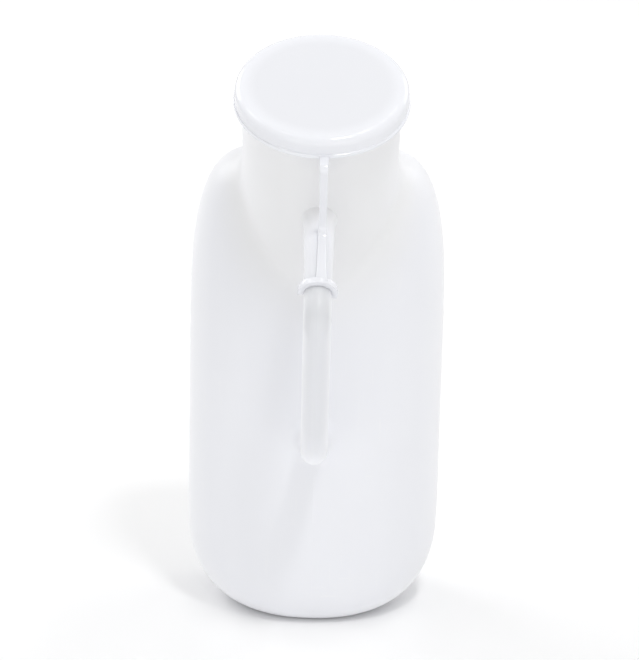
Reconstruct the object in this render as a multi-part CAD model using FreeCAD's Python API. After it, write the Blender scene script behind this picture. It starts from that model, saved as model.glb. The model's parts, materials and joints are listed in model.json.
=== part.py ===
import FreeCAD, Part

import math
import os

# Hand-held urine bottle that stands on its base, with a tethered snap lid.
#
# Frame: millimetres, +Z up, origin at the centre of the flat base.  The handle is
# at the front, towards -Y, the flat back that the bottle lies on is at +Y, and
# X = 0 is the plane of symmetry.  "Forward" below means the distance along -Y.
#
# The bottle is one blow moulding.  It is written as three nodes that meet face to
# face, so that each hollow keeps its own walls: bottle_body, bottle_neck and
# handle.  The lid is one injection moulding, written as lid_cap, lid_strap and
# strap_clip.

# ---------------------------------------------------------------- driving sizes
wall = 1.5                      # blown wall of body, neck and handle

# Body: an oval, fuller at the back, rounded into the base and the shoulders
body_height = 210.0
body_half_width = 56.0
front_depth = 39.0
back_depth = 35.5
back_flat_cut = 0.6             # planed off the back, so that the bottle lies still
front_fullness = 2.25           # 2 is an ellipse, more is squarer
back_fullness = 3.0

base_half_width = 25.0
base_inset_depth = 11.5         # how far the base stands inside the front and back
base_rise_side = 40.0           # height of the rounding seen from the front
base_rise_depth = 15.5          # height of the rounding seen from the side
base_fullness = 2.2

crown_core = 10.5               # the body's closed top, hidden under the neck, reaches
crown_front = 20.0              # halfway from this core to the neck's sides
crown_back = 5.0
shoulder_drop_side = 83.0
shoulder_drop_depth = 43.0
shoulder_fullness_side = 3.2
shoulder_fullness_depth = 2.3

# Neck: a round tube that leans forward out of the shoulders
neck_lean = 22.6                # degrees from upright
neck_radius = 33.5
neck_back_set = 6.9             # back of the rim's circle, forward of the base's centre
rim_above_body = 39.4           # centre of the rim above the body's closed top
rim_bead_depth = 1.3
rim_bead_height = 3.4
rim_round = 0.7
mouth_step = 0.4                # the calibrated mouth is this much tighter than the neck
mouth_length = 8.0
shoulder_blend = 12.0           # hollow curve between neck and shoulders
neck_parting = 62.0             # depth below the rim where neck and body nodes meet

# Handle: a round bar, pinched shut at both roots
bar_radius = 5.8
upper_root_depth = 47.0         # below the rim, measured down the neck's front
upper_leg_fall = 33.0           # degrees below level
upper_leg_length = 50.0         # neck to the upper corner
upper_leg_bend = 10.0
lower_corner_forward = 63.0
lower_leg_height = 91.5
lower_leg_bend = 14.0
upper_root_blend = 4.0
lower_root_blend = 5.0
root_stub = 8.0                 # length of each root that belongs to neck or body

# Lid
lid_wall = 1.5
lid_plate = 1.6
lid_height = 9.0
lid_play = 0.5                  # between the skirt and the rim's bead
lid_seat_gap = 0.3              # between the plate and the rim
lid_lip_depth = 0.6
lid_lip_height = 1.8
lid_lip_round = 0.4
lid_top_round = 3.4             # outside, where the plate turns into the skirt
lid_inside_round = 0.9

# Strap: out from the lid's lip, down beside the neck, and along the handle to the clip
strap_width = 4.0
strap_thickness = 1.6
tab_length = 7.0                # from the lid's lip to the line it folds on
fold_gap = 0.6                  # between the tab's round end and the strap
strap_bend = 6.0                # where the strap turns along the handle
strap_lift = 0.5                # between the strap and the bar it lies over

# Clip: an open ring that snaps on the handle's upper leg
clip_play = 0.15
clip_thickness = 2.6
clip_width = 2.8
clip_wrap = 204.0               # degrees of the ring that is there
clip_before_corner = 14.5       # from the clip's middle to the upper corner

# ---------------------------------------------------------------- derived sizes
lean = math.radians(neck_lean)
rim_forward = neck_back_set + neck_radius
rim_height = body_height + rim_above_body
crown_half_width = (crown_core + neck_radius) / 2
lid_inner_radius = neck_radius + rim_bead_depth + lid_play
lid_outer_radius = lid_inner_radius + lid_wall
lip_radius = lid_outer_radius + lid_lip_depth
skirt_bottom = lid_seat_gap + lid_plate - lid_height
fold_reach = lip_radius + tab_length
fold_level = skirt_bottom + strap_thickness / 2

SECTION_POINTS = 32
LEVELS_PER_ROUNDING = 8
LOFT_DEGREE = 5
POINTS_PER_EDGE = 9             # where an edge is measured, to tell which curve it is
CLEARLY_PAST = 8.0              # run-out of a tool solid past what it cuts or joins
SAME = 0.01                     # lengths closer than this are equal


def side_point(forward, height):
    """A point in the plane of symmetry."""
    return FreeCAD.Vector(0, -forward, height)


neck_up = side_point(math.sin(lean), math.cos(lean))
neck_front = side_point(math.cos(lean), -math.sin(lean))
rim_centre = side_point(rim_forward, rim_height)
neck_frame = FreeCAD.Placement(rim_centre, FreeCAD.Rotation(FreeCAD.Vector(1, 0, 0), neck_lean))


def on_neck(shape):
    """Moves a shape drawn about +Z, with the rim at height 0, to the leaning neck."""
    shape.Placement = neck_frame.multiply(shape.Placement)
    return shape


# ---------------------------------------------------------------- body
def rounded_share(share, fullness):
    """Quarter of a rounded corner: 0 at share 0, 1 at share 1, upright at the start."""
    left = 1.0 - min(max(share, 0.0), 1.0)
    return (1.0 - left ** fullness) ** (1.0 / fullness)


def oval_section(height, half_width, front, back):
    """Closed oval at one height, fuller towards the back."""
    points = []
    for step in range(SECTION_POINTS):
        angle = 2 * math.pi * step / SECTION_POINTS
        across, along = math.cos(angle), math.sin(angle)
        depth, fullness = (back, back_fullness) if along > 0 else (front, front_fullness)
        reach = abs(across / half_width) ** fullness + abs(along / depth) ** fullness
        radius = reach ** (-1.0 / fullness)
        points.append(FreeCAD.Vector(radius * across, radius * along, height))
    curve = Part.BSplineCurve()
    curve.interpolate(Points=points, PeriodicFlag=True, Parameters=list(range(SECTION_POINTS + 1)))
    return Part.Wire([curve.toShape()])


def body_levels(skin):
    """Heights of the sections, close together where the body rounds in."""
    rise = base_rise_side - skin
    drop = shoulder_drop_side - skin
    shares = [(step / LEVELS_PER_ROUNDING) ** 2 for step in range(LEVELS_PER_ROUNDING + 1)]
    low = [skin + rise * share for share in shares]
    high = [body_height - skin - drop * share for share in reversed(shares)]
    middle = [low[-1] + (high[0] - low[-1]) * third / 3 for third in (1, 2)]
    return low + middle + high


def body_form(skin):
    """The body's outside (skin 0), or its hollow (skin = wall), as one loft."""
    sections = []
    for height in body_levels(skin):
        up_side = rounded_share((height - skin) / (base_rise_side - skin), base_fullness)
        up_depth = rounded_share((height - skin) / (base_rise_depth - skin), base_fullness)
        top = body_height - skin
        down_side = rounded_share((top - height) / (shoulder_drop_side - skin), shoulder_fullness_side)
        down_depth = rounded_share((top - height) / (shoulder_drop_depth - skin), shoulder_fullness_depth)
        full_width = body_half_width - skin
        half_width = min(
            base_half_width + (full_width - base_half_width) * up_side,
            crown_half_width + (full_width - crown_half_width) * down_side,
        )
        depths = []
        for full_depth, crown in ((front_depth, crown_front), (back_depth, crown_back)):
            base = full_depth - base_inset_depth
            full = full_depth - skin
            depths.append(min(base + (full - base) * up_depth, crown + (full - crown) * down_depth))
        sections.append(oval_section(height, half_width, *depths))
    return Part.makeLoft(sections, True, False, False, LOFT_DEGREE)


def flat_back(form, skin):
    """Planes the back off, parallel to the wall, where the bottle lies down."""
    flat = back_depth - back_flat_cut - skin
    slab = Part.makeBox(4 * body_half_width, CLEARLY_PAST, 2 * body_height)
    slab.translate(FreeCAD.Vector(-2 * body_half_width, flat, -body_height / 2))
    return form.cut(slab)


# ---------------------------------------------------------------- neck
def neck_root_depth():
    """Depth below the rim where the neck's front has run into the body's front."""
    into_front = (rim_forward + neck_radius * math.cos(lean) - front_depth) / math.sin(lean)
    return into_front + CLEARLY_PAST


def neck_tube(radius, above=0.0):
    length = neck_root_depth() + above
    return on_neck(Part.makeCylinder(radius, length, FreeCAD.Vector(0, 0, above - length)))


def seam_edges(form, radius):
    """Edges where the leaning tube of this radius meets the body."""
    found = []
    for edge in form.Edges:
        points = edge.discretize(POINTS_PER_EDGE)
        radii = [(point - rim_centre).cross(neck_up).Length for point in points]
        depths = [(rim_centre - point).dot(neck_up) for point in points]
        on_tube = max(abs(value - radius) for value in radii) < SAME
        leaves_level = max(depths) - min(depths) > SAME
        meets_rim = min(depths) < rim_bead_height
        if on_tube and leaves_level and not meets_rim:
            found.append(edge)
    return found


def bottle_form(skin):
    """Body and neck joined, with the hollow curve between them."""
    radius = neck_radius - skin
    above = CLEARLY_PAST if skin else 0.0
    joined = flat_back(body_form(skin), skin).fuse(neck_tube(radius, above)).removeSplitter()
    return joined.makeFillet(shoulder_blend + skin, seam_edges(joined, radius))


# ---------------------------------------------------------------- handle
fall = math.radians(upper_leg_fall)
upper_leg_way = side_point(math.cos(fall), -math.sin(fall))
upper_leg_over = side_point(math.sin(fall), math.cos(fall))
upper_root = rim_centre + neck_front * neck_radius - neck_up * upper_root_depth
upper_corner = upper_root + upper_leg_way * upper_leg_length
lower_corner = side_point(lower_corner_forward, lower_leg_height)
lower_root = side_point(front_depth, lower_leg_height)


def rounded_corner(before, corner, after, radius):
    """Start, middle and end of the arc that rounds a corner of a path."""
    back = (before - corner).normalize()
    ahead = (after - corner).normalize()
    half = back.getAngle(ahead) / 2
    bisector = (back + ahead).normalize()
    start = corner + back * (radius / math.tan(half))
    end = corner + ahead * (radius / math.tan(half))
    middle = corner + bisector * (radius / math.sin(half) - radius)
    return start, middle, end


def bent_path(start, corners, end):
    """Straight runs joined by arcs; corners are (point, bend radius)."""
    stops = [start] + [corner for corner, _ in corners] + [end]
    edges = []
    reached = start
    for index, (corner, bend) in enumerate(corners):
        arc = rounded_corner(stops[index], corner, stops[index + 2], bend)
        edges.append(Part.LineSegment(reached, arc[0]).toShape())
        edges.append(Part.Arc(*arc).toShape())
        reached = arc[2]
    edges.append(Part.LineSegment(reached, end).toShape())
    return Part.Wire(edges)


def round_bar(start, corners, end, radius):
    section = Part.Wire([Part.makeCircle(radius, start, corners[0][0] - start)])
    return bent_path(start, corners, end).makePipeShell([section], True, True)


def handle_path(from_roots):
    """Ends of the free bar, this far along it from each root, and its two corners."""
    start = upper_root + upper_leg_way * from_roots
    end = lower_root + side_point(from_roots, 0)
    corners = [(upper_corner, upper_leg_bend), (lower_corner, lower_leg_bend)]
    return start, corners, end


def handle():
    bar = round_bar(*handle_path(root_stub), bar_radius)
    hollow = round_bar(*handle_path(root_stub + 2 * wall), bar_radius - wall)
    return bar.cut(hollow)


def root(point, way, into):
    """The stub of the bar that is part of the neck or the body."""
    return Part.makeCylinder(bar_radius, into + root_stub, point - way * into, way)


def root_edges(form, point, way):
    """Edges of the curve where a stub leaves the wall."""
    found = []
    for edge in form.Edges:
        points = edge.discretize(POINTS_PER_EDGE)
        off_axis = [(spot - point).cross(way).Length for spot in points]
        along = [(spot - point).dot(way) for spot in points]
        on_stub = max(abs(value - bar_radius) for value in off_axis) < SAME
        if on_stub and max(along) < root_stub - SAME and max(along) - min(along) > SAME:
            found.append(edge)
    return found


# ---------------------------------------------------------------- bottle
def rim():
    """The rolled bead that the lid's skirt closes over, and the calibrated mouth inside it."""
    bead_radius = neck_radius + rim_bead_depth
    inside = neck_radius - wall
    mid_wall = neck_radius - wall / 2
    mouth_radius = inside - mouth_step
    profile = [
        (mouth_radius, 0), (bead_radius, 0), (bead_radius, -rim_bead_height),
        (mid_wall, -rim_bead_height), (mid_wall, -mouth_length - mouth_step),
        (inside, -mouth_length - mouth_step), (mouth_radius, -mouth_length),
    ]
    corners = [FreeCAD.Vector(radius, 0, height) for radius, height in profile]
    face = Part.Face(Part.makePolygon(corners + corners[:1]))
    ring = face.revolve(FreeCAD.Vector(), FreeCAD.Vector(0, 0, 1), 360)
    outer_edges = [edge for edge in ring.Edges if round_at(edge, bead_radius)]
    return on_neck(ring.makeFillet(rim_round, outer_edges))


def round_at(edge, radius, height=None):
    """True for a circle of this radius, at this height when one is given."""
    curve = edge.Curve
    if not isinstance(curve, Part.Circle) or abs(curve.Radius - radius) > SAME:
        return False
    return height is None or abs(curve.Center.z - height) < SAME


def bottle_shell():
    """The whole moulding without its free bar: outside, roots and rim, then the hollow."""
    form = bottle_form(0.0)
    for point, way, blend in (
        (upper_root, upper_leg_way, upper_root_blend),
        (lower_root, side_point(1, 0), lower_root_blend),
    ):
        form = form.fuse(root(point, way, CLEARLY_PAST)).removeSplitter()
        form = form.makeFillet(blend, root_edges(form, point, way))
    return form.cut(bottle_form(wall)).fuse(rim()).removeSplitter()


def above_parting():
    """Everything above the plane where the neck node meets the body node."""
    reach = 4 * body_half_width
    block = Part.makeBox(2 * reach, 2 * reach, reach, FreeCAD.Vector(-reach, -reach, -neck_parting))
    return on_neck(block)


# ---------------------------------------------------------------- lid
def disc(radius, low, high):
    return Part.makeCylinder(radius, high - low, FreeCAD.Vector(0, 0, low))


def lid_cap():
    """Plate, skirt and lip, with the tab that the strap continues."""
    top = skirt_bottom + lid_height
    outside = disc(lid_outer_radius, skirt_bottom, top)
    top_edges = [edge for edge in outside.Edges if round_at(edge, lid_outer_radius, top)]
    outside = outside.makeFillet(lid_top_round, top_edges)
    lip = disc(lip_radius, skirt_bottom, skirt_bottom + lid_lip_height)
    lip = lip.makeFillet(lid_lip_round, [edge for edge in lip.Edges if round_at(edge, lip_radius)])
    hollow = disc(lid_inner_radius, skirt_bottom, lid_seat_gap)
    inner_edges = [edge for edge in hollow.Edges if round_at(edge, lid_inner_radius, lid_seat_gap)]
    hollow = hollow.makeFillet(lid_inside_round, inner_edges)
    side = -strap_width / 2
    tab = Part.makeBox(
        strap_width, fold_reach - lid_inner_radius, strap_thickness,
        FreeCAD.Vector(side, -fold_reach, skirt_bottom),
    )
    tab_end = Part.makeCylinder(
        strap_thickness / 2, strap_width,
        FreeCAD.Vector(side, -fold_reach, fold_level), FreeCAD.Vector(1, 0, 0),
    )
    return on_neck(outside.fuse([lip, tab, tab_end]).removeSplitter().cut(hollow))


# ---------------------------------------------------------------- strap and clip
fold_line = rim_centre + neck_front * fold_reach + neck_up * fold_level
clip_middle = upper_corner - upper_leg_way * clip_before_corner
clip_inner_radius = bar_radius + clip_play
clip_outer_radius = clip_inner_radius + clip_thickness


def on_leg(shape):
    """Moves a shape drawn about +Z, with +Y outwards, to the clip's place on the leg."""
    turn = FreeCAD.Rotation(FreeCAD.Vector(1, 0, 0), 90 + upper_leg_fall)
    shape.Placement = FreeCAD.Placement(clip_middle, turn).multiply(shape.Placement)
    return shape


def strap_clip():
    """Ring about the upper leg, open below, with round ends."""
    low = FreeCAD.Vector(0, 0, -clip_width / 2)
    along = FreeCAD.Vector(0, 0, 1)
    gap = 360 - clip_wrap
    ring = Part.makeCylinder(clip_outer_radius, clip_width, low)
    mouth = Part.makeCylinder(2 * clip_outer_radius, clip_width, low, along, gap)
    mouth.rotate(FreeCAD.Vector(), along, -90 - gap / 2)
    form = ring.cut(Part.makeCylinder(clip_inner_radius, clip_width, low)).cut(mouth)
    middle_radius = clip_inner_radius + clip_thickness / 2
    for side in (-1, 1):
        angle = math.radians(-90 + side * gap / 2)
        across, outwards = middle_radius * math.cos(angle), middle_radius * math.sin(angle)
        tip = FreeCAD.Vector(across, outwards, low.z)
        form = form.fuse(Part.makeCylinder(clip_thickness / 2, clip_width, tip))
    return on_leg(form.removeSplitter())


def strap_corner(over_bar):
    """Where the strap's two straight runs would meet: below the fold, and over the bar."""
    start = upper_root + upper_leg_over * over_bar
    down = neck_up * -1
    along = (start - fold_line).dot(upper_leg_over) / down.dot(upper_leg_over)
    return fold_line + down * along


def lid_strap():
    """A flat strap, down beside the neck from the fold, then along the handle to the clip."""
    over_bar = bar_radius + strap_lift + strap_thickness / 2
    start = fold_line - neck_up * (strap_thickness / 2 + fold_gap)
    end = clip_middle + upper_leg_over * over_bar - upper_leg_way * (clip_width / 2)
    path = bent_path(start, [(strap_corner(over_bar), strap_bend)], end)
    across = FreeCAD.Vector(strap_width / 2, 0, 0)
    through = neck_front * (strap_thickness / 2)
    corners = [
        start - across - through, start + across - through,
        start + across + through, start - across + through,
    ]
    section = Part.makePolygon(corners + corners[:1])
    return path.makePipeShell([section], True, True)


if __name__ == "__main__":
    os.makedirs("parts", exist_ok=True)
    shell = bottle_shell()
    upper = above_parting()
    pieces = {
        "bottle_body": shell.cut(upper),
        "bottle_neck": shell.common(upper),
        "handle": handle(),
        "lid_cap": lid_cap(),
        "lid_strap": lid_strap(),
        "strap_clip": strap_clip(),
    }
    for name, shape in pieces.items():
        shape.exportStep("parts/" + name + ".step")
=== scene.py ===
import json
import math

import bmesh
import bpy
from bpy.props import FloatProperty, FloatVectorProperty, IntProperty, PointerProperty
from mathutils import Matrix, Quaternion, Vector

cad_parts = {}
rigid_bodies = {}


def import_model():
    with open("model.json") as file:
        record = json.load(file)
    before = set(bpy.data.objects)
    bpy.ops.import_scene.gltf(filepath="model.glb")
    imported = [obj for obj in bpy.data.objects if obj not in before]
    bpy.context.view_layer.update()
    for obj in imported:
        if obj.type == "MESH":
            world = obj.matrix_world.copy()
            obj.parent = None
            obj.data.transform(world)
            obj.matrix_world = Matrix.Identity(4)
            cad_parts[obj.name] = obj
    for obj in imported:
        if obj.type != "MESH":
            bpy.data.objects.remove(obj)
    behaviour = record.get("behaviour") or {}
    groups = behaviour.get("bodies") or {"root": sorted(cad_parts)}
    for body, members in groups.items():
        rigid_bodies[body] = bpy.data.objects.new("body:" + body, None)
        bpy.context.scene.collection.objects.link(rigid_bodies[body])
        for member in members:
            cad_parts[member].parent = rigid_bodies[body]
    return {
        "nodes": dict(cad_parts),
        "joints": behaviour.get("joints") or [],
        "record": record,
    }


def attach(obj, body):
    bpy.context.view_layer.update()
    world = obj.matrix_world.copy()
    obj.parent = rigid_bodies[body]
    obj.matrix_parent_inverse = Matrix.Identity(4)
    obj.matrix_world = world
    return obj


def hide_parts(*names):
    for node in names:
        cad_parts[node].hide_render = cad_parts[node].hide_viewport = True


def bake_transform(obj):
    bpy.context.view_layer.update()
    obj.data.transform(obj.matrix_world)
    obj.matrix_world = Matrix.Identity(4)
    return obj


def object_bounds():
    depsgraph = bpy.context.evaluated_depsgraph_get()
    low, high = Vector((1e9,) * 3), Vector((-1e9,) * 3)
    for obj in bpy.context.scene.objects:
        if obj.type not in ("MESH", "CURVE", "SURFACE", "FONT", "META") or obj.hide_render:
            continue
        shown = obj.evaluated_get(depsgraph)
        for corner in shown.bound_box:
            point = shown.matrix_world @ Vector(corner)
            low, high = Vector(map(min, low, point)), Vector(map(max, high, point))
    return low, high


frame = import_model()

bl_info = {
    "name": "Urine bottle",
    "version": (1, 0, 0),
    "blender": (4, 5, 0),
    "location": "3D View > Sidebar > Urine bottle",
    "description": "A blown ward bottle with its tethered lid, and the studio it stands in",
    "category": "Object",
}

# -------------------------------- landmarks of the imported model
MM = 0.001
CAD_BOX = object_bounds()


def mount(name):
    return next(row for row in frame["record"]["mounts"] if row["name"] == name)


MOUTH = mount("mouth")
NECK_UP = Vector(MOUTH["axis"]).normalized()
NECK_LEAN = math.atan2(-NECK_UP.y, NECK_UP.z)
NECK_FRONT = Vector((0, -math.cos(NECK_LEAN), -math.sin(NECK_LEAN)))
RIM = Vector(MOUTH["pos_m"]) + NECK_UP * (MOUTH["dims"]["length_mm"] * MM / 2)
MOUTH_RADIUS = MOUTH["dims"]["r_mm"] * MM
MOUTH_LENGTH = MOUTH["dims"]["length_mm"] * MM
FOLD = Vector(frame["joints"][0]["pos_m"])

# How finely the skins are divided, and how a hole is opened where the bar meets the wall
ROOT_ROW = 2.7 * MM             # rows up the body, beside the lower root
NECK_ROW = 2.45 * MM            # rows along the neck, beside the upper root
ROWS_BELOW_UPPER_ROOT = 5
ROWS_ABOVE_UPPER_ROOT = 7       # as far up the neck as the wrapped skin goes
ROOT_BLOCK = 4                  # rows and columns opened each way from the middle of a root
BAR_COLUMNS = 8 * ROOT_BLOCK    # the corners of an opened block, which the bar's ring meets
ROOT_FIND = 17 * MM             # a root's hole and its end of the bar lie within this of the root
BASE_LIFT = 0.02 * MM           # the lowest ring is wrapped from just above the base
WELD = 0.01 * MM                # corners closer than this are one
SHARP = math.radians(38)        # edges sharper than this stay sharp


# -------------------------------- sizes and colours
def length(name, description, millimetres):
    return FloatProperty(name=name, description=description, default=millimetres * MM, unit="LENGTH")


def angle(name, description, degrees):
    return FloatProperty(
        name=name, description=description, default=math.radians(degrees), subtype="ANGLE")


def tone(name, description, red, green, blue):
    return FloatVectorProperty(
        name=name, description=description, default=(red, green, blue, 1), size=4, subtype="COLOR")


class BottleSizes(bpy.types.PropertyGroup):
    """Sizes of the blown bottle and its handle."""
    wall: length("Wall", "Blown wall", 1.5)
    neck_radius: length("Neck radius", "Outside of the neck", 33.5)
    bead_radius: length("Bead radius", "Outside of the rim's bead", 34.8)
    bead_height: length("Bead height", "Height of the rim's bead", 3.4)
    bead_round: length("Bead rounding", "Rounding of the bead", 0.7)
    parting: length("Parting", "Depth below the rim where neck and body nodes meet", 62)
    base_rise: length("Base rounding", "Height of the rounding above the base", 40)
    bar_radius: length("Handle radius", "Radius of the handle's bar", 5.8)
    upper_root_depth: length("Upper root", "Depth of the upper root below the rim", 44.5)
    upper_leg_fall: angle("Upper leg fall", "Fall of the upper leg below level", 35.79)
    upper_leg_length: length("Upper leg", "Neck to the upper corner", 50.27)
    upper_bend: length("Upper bend", "Bend at the upper corner", 10)
    lower_corner: length("Lower corner", "Lower corner, forward of the base's centre", 63)
    lower_leg_height: length("Lower leg", "Height of the lower leg", 91.5)
    lower_bend: length("Lower bend", "Bend at the lower corner", 14)
    body_front: length("Body front", "Front of the body, forward of the base's centre", 39)
    leg_swell: length("Leg swell", "How much the upper leg's radius grows towards its root", 0.85)
    upper_root_flare: length(
        "Upper root flare", "How far the upper root spreads past the bar's radius", 1.8)
    upper_root_reach: length(
        "Upper root reach", "Where the upper leg is round again, past its root", 2.6)
    lower_root_flare: length(
        "Lower root flare", "How far the lower root spreads past the bar's radius", 5)
    lower_root_reach: length(
        "Lower root reach", "Where the lower leg is round again, past its root", 6.5)
    columns: IntProperty(name="Columns", description="Faces around the bottle", default=96, min=32)


class LidSizes(bpy.types.PropertyGroup):
    """Sizes of the lid, its strap and its clip."""
    outer_radius: length("Skirt radius", "Outside of the skirt", 36.8)
    lip_radius: length("Lip radius", "Outside of the lip", 37.4)
    inner_radius: length("Inner radius", "Inside of the skirt", 35.3)
    height: length("Height", "Whole lid", 9)
    plate: length("Plate", "Thickness of the top", 1.6)
    seat_gap: length("Seat gap", "Between plate and rim", 0.3)
    top_round: length("Top rounding", "Plate into skirt", 3.6)
    lip_height: length("Lip height", "Height of the lip", 1.8)
    strap_width: length("Strap width", "Width of the strap", 4)
    strap_thickness: length("Strap thickness", "Thickness of the strap", 1.6)
    strap_lift: length("Strap lift", "Between the strap and the bar", 0.5)
    strap_bend: length("Strap bend", "Where the strap turns along the handle", 6)
    clip_play: length("Clip play", "Between the clip and the bar", 0.04)
    clip_thickness: length("Clip thickness", "Radial thickness of the clip", 2.6)
    clip_width: length("Clip width", "Width of the clip along the bar", 2.8)
    clip_before_corner: length("Clip place", "Clip's middle to the upper corner", 14.5)
    clip_wrap: angle("Clip wrap", "How far the clip reaches round the bar", 204)
    clip_turn: angle("Clip turn", "How far the clip has turned on the bar", 8)
    strap_drift: length("Strap drift", "How far the strap lies to one side", 1.4)


class FinishSettings(bpy.types.PropertyGroup):
    """Colours and gloss of the milky polyethylene, some of them painted shade and sheen."""
    bottle_thin: tone("Bottle, thin wall", "Colour where the blown wall is thin", 0.865, 0.873, 0.913)
    bottle_thick: tone("Bottle, thick wall", "Colour where the blown wall is thick", 0.85, 0.858, 0.898)
    # Partly the plastic's greyer tint, partly painted shade: the chest and the valleys beside the neck darker,
    # where the neck and lid shade them
    neck_tone: tone("Neck and chest", "Colour of the thicker wall about the neck", 0.838, 0.84, 0.851)
    tube_tone: tone("Neck tube", "Colour of the upright wall of the neck", 0.882, 0.884, 0.897)
    # Painted shade on the handle's bar, darkest below the clip where the clip's shadow falls
    drawn_tone: tone(
        "Drawn bar", "Colour where the bar's wall is drawn out thin and clear", 0.69, 0.70, 0.72)
    # Painted sheen: the bottle's wall lighter where it is seen edge on
    bottle_edge: tone("Bottle, edge on", "Colour of the bottle's wall seen edge on", 0.92, 0.925, 0.95)
    bottle_roughness: FloatProperty(
        name="Bottle roughness", description="Roughness of the bottle", default=0.42)
    lid_thin: tone("Lid, thin wall", "Colour where the moulded wall is thin", 0.862, 0.872, 0.914)
    lid_thick: tone("Lid, thick wall", "Colour where the moulded wall is thick", 0.855, 0.865, 0.906)
    # Painted shade: the strap and clip darker than the lid they are moulded with, for the lid's shade over them
    strap_thin: tone("Strap, thin", "Colour where the strap is thin", 0.82, 0.83, 0.87)
    strap_thick: tone("Strap, thick", "Colour where the strap is thick", 0.81, 0.82, 0.86)
    # Painted shade: the middle of the lid darker, for the dark inside of the bottle seen through the plate
    plate_tone: tone(
        "Lid's plate", "Colour of the middle of the lid, over the open mouth", 0.79, 0.798, 0.835)
    # Painted shade: the lid's wall darker where it is seen edge on
    lid_edge: tone("Lid, edge on", "Colour of the lid's wall seen edge on", 0.80, 0.808, 0.85)
    rubbed: tone("Rubs", "Colour of rubs and hair scratches", 0.93, 0.93, 0.94)
    lid_roughness: FloatProperty(name="Lid roughness", description="Roughness of the lid", default=0.13)


class StageSettings(bpy.types.PropertyGroup):
    """The camera and the light."""
    distance: length("Distance", "Camera to bottle", 1529.5)
    elevation: angle("Elevation", "Camera above level", 20.31)
    azimuth: angle("Azimuth", "Camera to the left of the front", 0.15)
    roll: angle("Roll", "Turn of the camera about its line of sight", 1.33)
    lens: FloatProperty(name="Lens", description="Focal length in millimetres", default=194.43)
    aim: FloatVectorProperty(
        name="Aim", description="What the camera looks at", default=(0.0013, 0, 0.1265), subtype="XYZ")
    sky: FloatProperty(name="Room light", description="Light from all around", default=0.645)
    overhead: FloatProperty(name="Overhead lamp", description="Power of the overhead lamp", default=1.1)
    left: FloatProperty(name="Left lamp", description="Power of the left lamp", default=0.7)
    key: FloatProperty(
        name="Key lamp", description="Power of the lamp high on the right in front", default=4.6)
    small: FloatProperty(
        name="Small lamp", description="Power of the small lamp over the left", default=0.35)
    back_left: FloatProperty(
        name="Back left lamp", description="Power of the back left lamp", default=5.4)
    back_right: FloatProperty(
        name="Back right lamp", description="Power of the back right lamp", default=2.8)
    low: FloatProperty(name="Low lamp", description="Power of the low strip in front", default=5.6)
    floor_lift: FloatProperty(
        name="Floor lift", description="How much whiter the floor looks away from the bottle", default=0.1)


# -------------------------------- modelling by hand
def work_on(obj):
    """Makes obj the active object and the only selected one."""
    if bpy.context.mode != "OBJECT":
        bpy.ops.object.mode_set(mode="OBJECT")
    bpy.ops.object.select_all(action="DESELECT")
    obj.select_set(True)
    bpy.context.view_layer.objects.active = obj


def edit(obj):
    work_on(obj)
    bpy.ops.object.mode_set(mode="EDIT")
    bpy.ops.mesh.select_mode(type="VERT")


def done():
    bpy.ops.object.mode_set(mode="OBJECT")


def pick(obj, kind, test):
    """In edit mode, selects the vertices, edges or faces that pass the test, and nothing else."""
    bpy.ops.mesh.select_mode(type=kind)
    bpy.ops.mesh.select_all(action="DESELECT")
    mesh = bmesh.from_edit_mesh(obj.data)
    for element in {"VERT": mesh.verts, "EDGE": mesh.edges, "FACE": mesh.faces}[kind]:
        if test(element):
            element.select_set(True)
    mesh.select_flush_mode()
    bmesh.update_edit_mesh(obj.data)


def pick_all():
    bpy.ops.mesh.select_all(action="SELECT")


def extrude(move=(0, 0, 0)):
    bpy.ops.mesh.extrude_region_move(TRANSFORM_OT_translate={"value": move})


def pinch():
    """Closes the selected ring with a fan of faces to its middle."""
    extrude()
    bpy.ops.mesh.merge(type="CENTER")


def settle(obj):
    """Puts the object's place into its mesh."""
    work_on(obj)
    bpy.ops.object.transform_apply(location=True, rotation=True, scale=True)


def new_ring(name, vertices, radius, centre, tilt):
    """An open circle whose axis leans by tilt from upright, towards the front."""
    bpy.ops.object.select_all(action="DESELECT")
    bpy.ops.mesh.primitive_circle_add(
        vertices=vertices, radius=radius, fill_type="NOTHING", location=centre, rotation=(tilt, 0, 0))
    ring = bpy.context.object
    ring.name = name
    ring.data.name = name
    settle(ring)
    return ring


def turn(tilt, centre):
    """Turns the selection about X; with no window the operator counts the other way."""
    bpy.ops.transform.rotate(value=-tilt, orient_axis="X", orient_type="GLOBAL", center_override=centre)


def sweep(stations, across_only=False):
    """Extrudes the selected ring from place to place: (centre, tilt, size)."""
    for (here, tilt, size), (there, next_tilt, next_size) in zip(stations, stations[1:]):
        extrude(there - here)
        if abs(next_tilt - tilt) > 1e-6:
            turn(next_tilt - tilt, there)
        if abs(next_size - size) > 1e-9:
            share = next_size / size
            value = (share, 1, 1) if across_only else (share, share, share)
            bpy.ops.transform.resize(value=value, orient_type="GLOBAL", center_override=there)


def close_end(centre, steps):
    """Draws the selected ring in to a point, in the ring's own plane."""
    for step in range(steps):
        share = (steps - step) / (steps + 1 - step)
        extrude()
        bpy.ops.transform.resize(value=(share, share, share), center_override=centre)
    pinch()


def apply_all(obj):
    work_on(obj)
    for modifier in list(obj.modifiers):
        bpy.ops.object.modifier_apply(modifier=modifier.name)


def join(first, *others):
    work_on(first)
    for other in others:
        other.select_set(True)
    bpy.ops.object.join()
    return first


def finish_mesh(obj, weld=WELD):
    """Closes seams, points faces outwards and shades smooth up to real edges."""
    edit(obj)
    pick_all()
    bpy.ops.mesh.remove_doubles(threshold=weld)
    bpy.ops.mesh.normals_make_consistent(inside=False)
    done()
    bpy.ops.object.shade_smooth_by_angle(angle=SHARP)


# -------------------------------- the blown bottle
def rim_depth(point):
    return (RIM - point).dot(NECK_UP)


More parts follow.
